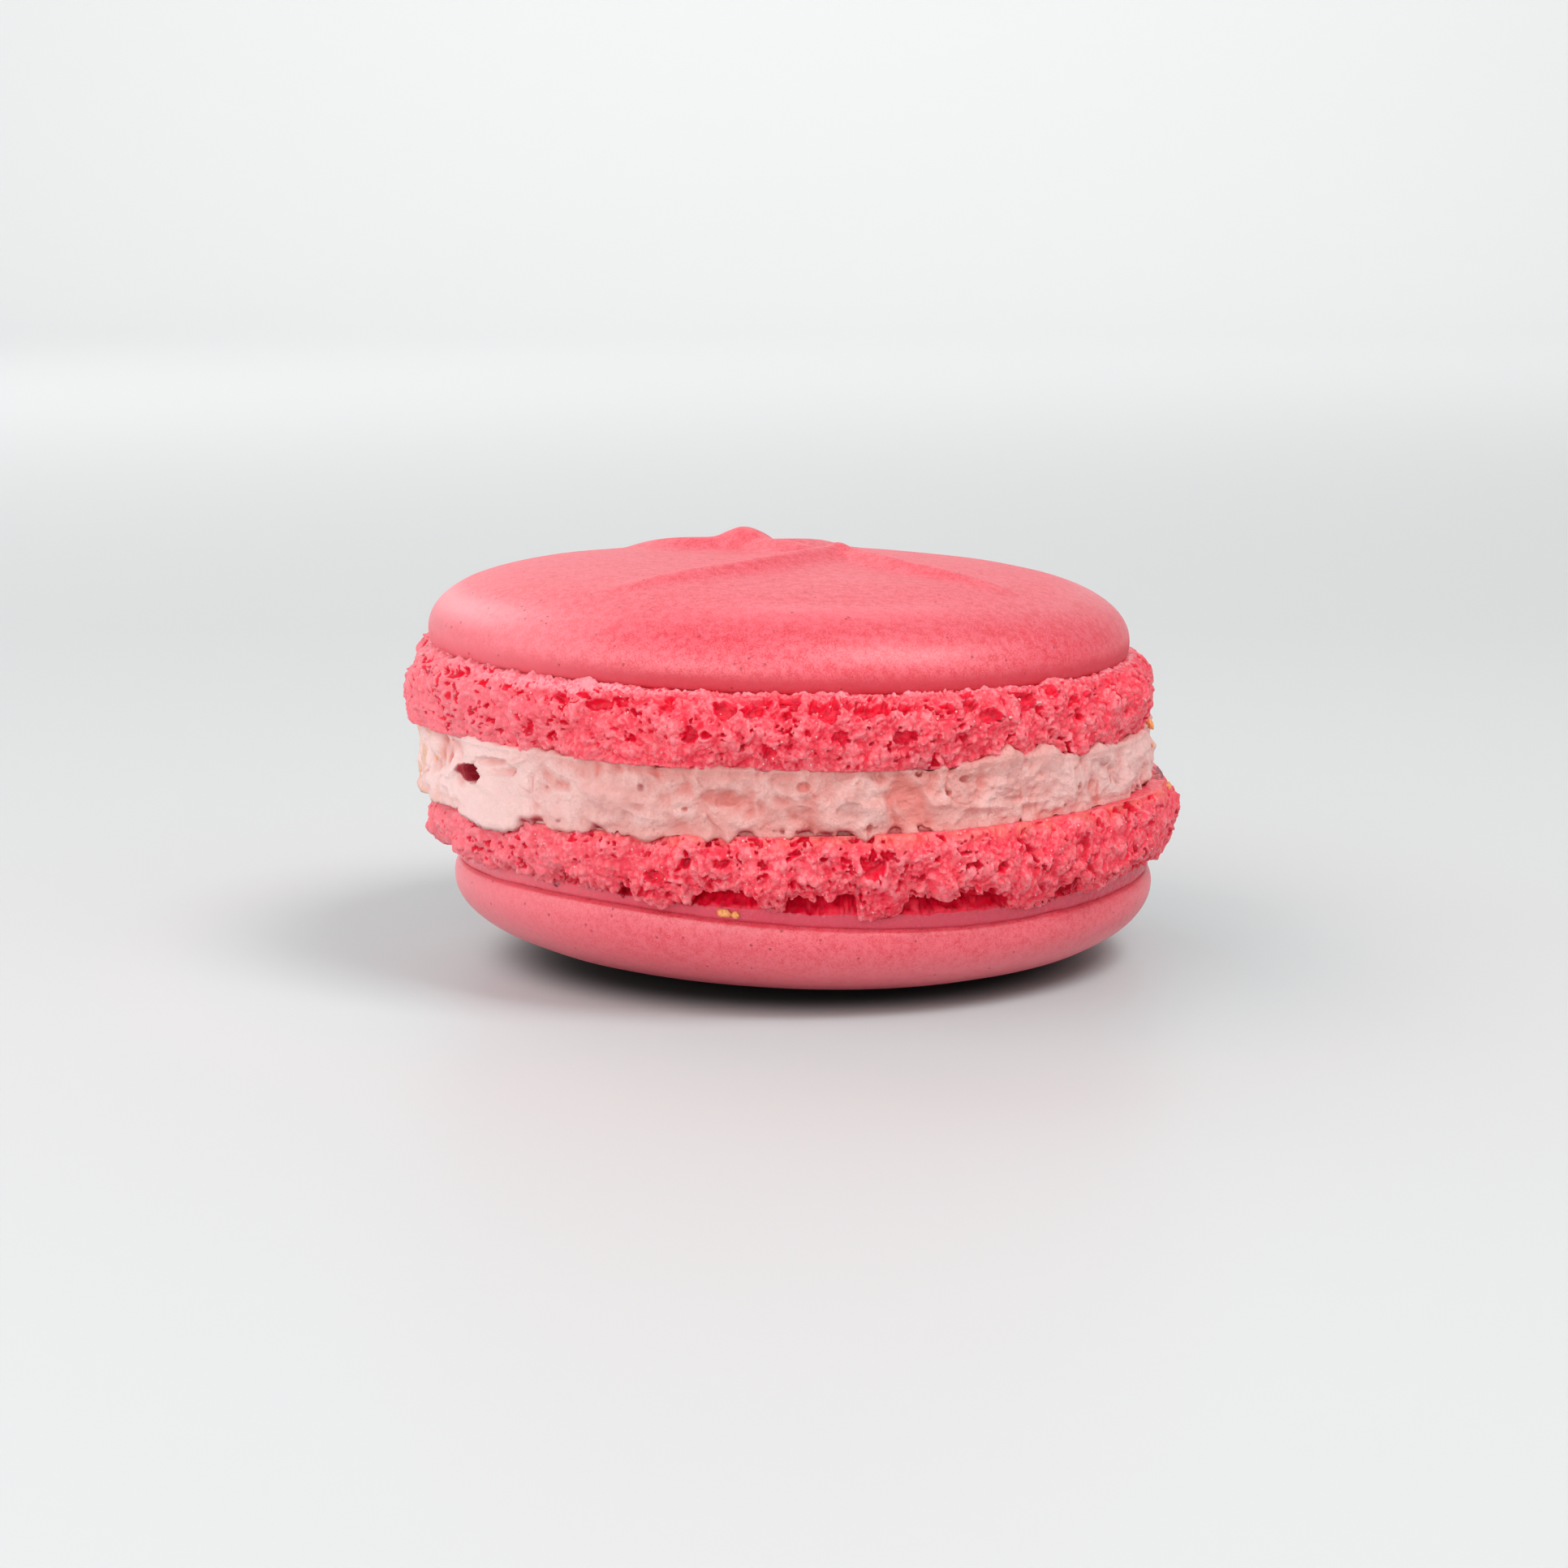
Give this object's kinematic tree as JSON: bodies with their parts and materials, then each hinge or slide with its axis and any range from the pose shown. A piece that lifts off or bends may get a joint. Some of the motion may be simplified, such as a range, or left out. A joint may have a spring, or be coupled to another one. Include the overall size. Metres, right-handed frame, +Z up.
{
  "type": "french macaron",
  "caption": "Round almond meringue sandwich biscuit: smooth domed pink shells with ruffled, porous feet around a pale buttercream filling.",
  "frame": {"origin": "middle of the flat spot under the lower cap, on the surface that the macaron rests on", "axes": "+Z up through the stacked shells, -Y towards the side that the picture shows, +X to the right in the picture"},
  "size_m": [0.047, 0.046, 0.0251],
  "materials": {
    "shell": "baked almond meringue: a satin skin with pinholes, and a matte, porous foot with darker red pores",
    "filling": "whipped buttercream, pale beige pink, soft satin, smeared, with air holes"
  },
  "bodies": {
    "root": {"shell_upper": "shell", "filling": "filling", "shell_lower": "shell"}
  },
  "joints": []
}
